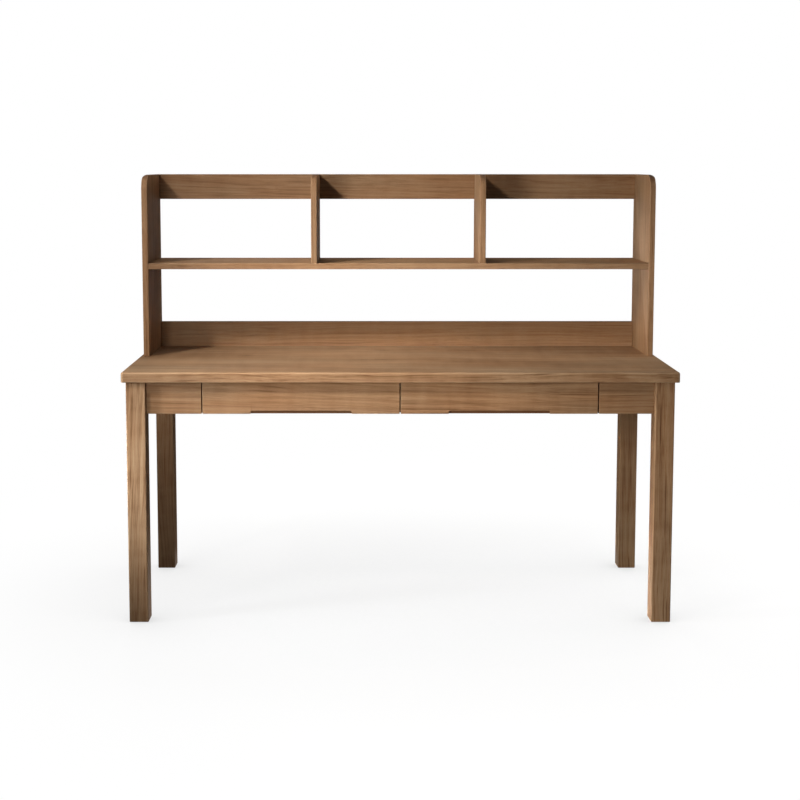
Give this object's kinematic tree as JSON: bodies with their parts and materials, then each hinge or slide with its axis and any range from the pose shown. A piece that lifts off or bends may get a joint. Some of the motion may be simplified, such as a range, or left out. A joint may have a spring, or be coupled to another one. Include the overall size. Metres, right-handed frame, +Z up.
{
  "type": "student desk with hutch",
  "caption": "Wide wooden writing desk on square legs, with shallow drawers under the top and an open hutch of shelf, dividers and back rails along its rear.",
  "frame": {"origin": "on the floor, under the middle of the desktop", "axes": "+X to the sitter's right along the desktop, +Y to the back, +Z up"},
  "size_m": [1.6, 0.6, 1.3],
  "materials": {
    "walnut_stain": "walnut stain, satin",
    "drawer_birch": "clear lacquer",
    "drawer_ply": "clear lacquer",
    "beech_dowel": "raw, fluted",
    "zinc_rail": "zinc plated",
    "ball_cage": "plain steel",
    "zinc_plate": "zinc plated",
    "fixing_steel": "zinc plated",
    "nylon": "moulded"
  },
  "bodies": {
    "desk": {"bracket_screws": "fixing_steel", "centre_bay_wall": "walnut_stain", "corner_bolts": "fixing_steel", "corner_brackets": "zinc_plate", "corner_nuts": "fixing_steel", "desktop": "walnut_stain", "dowels": "beech_dowel", "front_left_leg": "walnut_stain", "front_right_leg": "walnut_stain", "front_stretcher": "walnut_stain", "hutch_base_screws": "fixing_steel", "hutch_cam_bolts": "fixing_steel", "hutch_cam_discs": "fixing_steel", "hutch_left_divider": "walnut_stain", "hutch_left_side": "walnut_stain", "hutch_lower_panel": "walnut_stain", "hutch_right_divider": "walnut_stain", "hutch_right_side": "walnut_stain", "hutch_shelf": "walnut_stain", "hutch_top_rail": "walnut_stain", "left_bay_wall": "walnut_stain", "left_drawer_outer_rails": "zinc_rail", "left_front_panel": "walnut_stain", "left_side_apron": "walnut_stain", "leg_glides": "nylon", "panel_screws": "fixing_steel", "rear_apron": "walnut_stain", "rear_left_leg": "walnut_stain", "rear_right_leg": "walnut_stain", "right_bay_wall": "walnut_stain", "right_drawer_outer_rails": "zinc_rail", "right_front_panel": "walnut_stain", "right_side_apron": "walnut_stain", "slide_wall_screws": "fixing_steel", "top_brackets": "zinc_plate"},
    "left_drawer": {"left_drawer_back": "drawer_birch", "left_drawer_bottom": "drawer_ply", "left_drawer_box_front": "drawer_birch", "left_drawer_front": "walnut_stain", "left_drawer_front_screws": "fixing_steel", "left_drawer_inner_rails": "zinc_rail", "left_drawer_left_side": "drawer_birch", "left_drawer_right_side": "drawer_birch", "left_drawer_slide_screws": "fixing_steel"},
    "left_drawer_middle_slides": {"left_drawer_middle_rails": "zinc_rail"},
    "left_drawer_wall_side_cages": {"left_drawer_outer_cages": "ball_cage"},
    "left_drawer_box_side_cages": {"left_drawer_inner_cages": "ball_cage"},
    "right_drawer": {"right_drawer_back": "drawer_birch", "right_drawer_bottom": "drawer_ply", "right_drawer_box_front": "drawer_birch", "right_drawer_front": "walnut_stain", "right_drawer_front_screws": "fixing_steel", "right_drawer_inner_rails": "zinc_rail", "right_drawer_left_side": "drawer_birch", "right_drawer_right_side": "drawer_birch", "right_drawer_slide_screws": "fixing_steel"},
    "right_drawer_middle_slides": {"right_drawer_middle_rails": "zinc_rail"},
    "right_drawer_wall_side_cages": {"right_drawer_outer_cages": "ball_cage"},
    "right_drawer_box_side_cages": {"right_drawer_inner_cages": "ball_cage"}
  },
  "joints": [
    {"name": "left_drawer_slide", "type": "slide", "parent": "desk", "child": "left_drawer", "axis": [0, -1, 0], "range_m": [0, 0.42]},
    {"name": "left_drawer_middle_slide", "type": "slide", "parent": "desk", "child": "left_drawer_middle_slides", "axis": [0, -1, 0], "range_m": [0, 0.21]},
    {"name": "left_drawer_wall_side_cage_roll", "type": "slide", "parent": "desk", "child": "left_drawer_wall_side_cages", "axis": [0, -1, 0], "range_m": [0, 0.105]},
    {"name": "left_drawer_box_side_cage_roll", "type": "slide", "parent": "desk", "child": "left_drawer_box_side_cages", "axis": [0, -1, 0], "range_m": [0, 0.315]},
    {"name": "right_drawer_slide", "type": "slide", "parent": "desk", "child": "right_drawer", "axis": [0, -1, 0], "range_m": [0, 0.42]},
    {"name": "right_drawer_middle_slide", "type": "slide", "parent": "desk", "child": "right_drawer_middle_slides", "axis": [0, -1, 0], "range_m": [0, 0.21]},
    {"name": "right_drawer_wall_side_cage_roll", "type": "slide", "parent": "desk", "child": "right_drawer_wall_side_cages", "axis": [0, -1, 0], "range_m": [0, 0.105]},
    {"name": "right_drawer_box_side_cage_roll", "type": "slide", "parent": "desk", "child": "right_drawer_box_side_cages", "axis": [0, -1, 0], "range_m": [0, 0.315]}
  ],
  "couplings": [
    {"joint": "left_drawer_middle_slide", "follows": "left_drawer_slide", "ratio": 0.5},
    {"joint": "left_drawer_wall_side_cage_roll", "follows": "left_drawer_slide", "ratio": 0.25},
    {"joint": "left_drawer_box_side_cage_roll", "follows": "left_drawer_slide", "ratio": 0.75},
    {"joint": "right_drawer_middle_slide", "follows": "right_drawer_slide", "ratio": 0.5},
    {"joint": "right_drawer_wall_side_cage_roll", "follows": "right_drawer_slide", "ratio": 0.25},
    {"joint": "right_drawer_box_side_cage_roll", "follows": "right_drawer_slide", "ratio": 0.75}
  ]
}
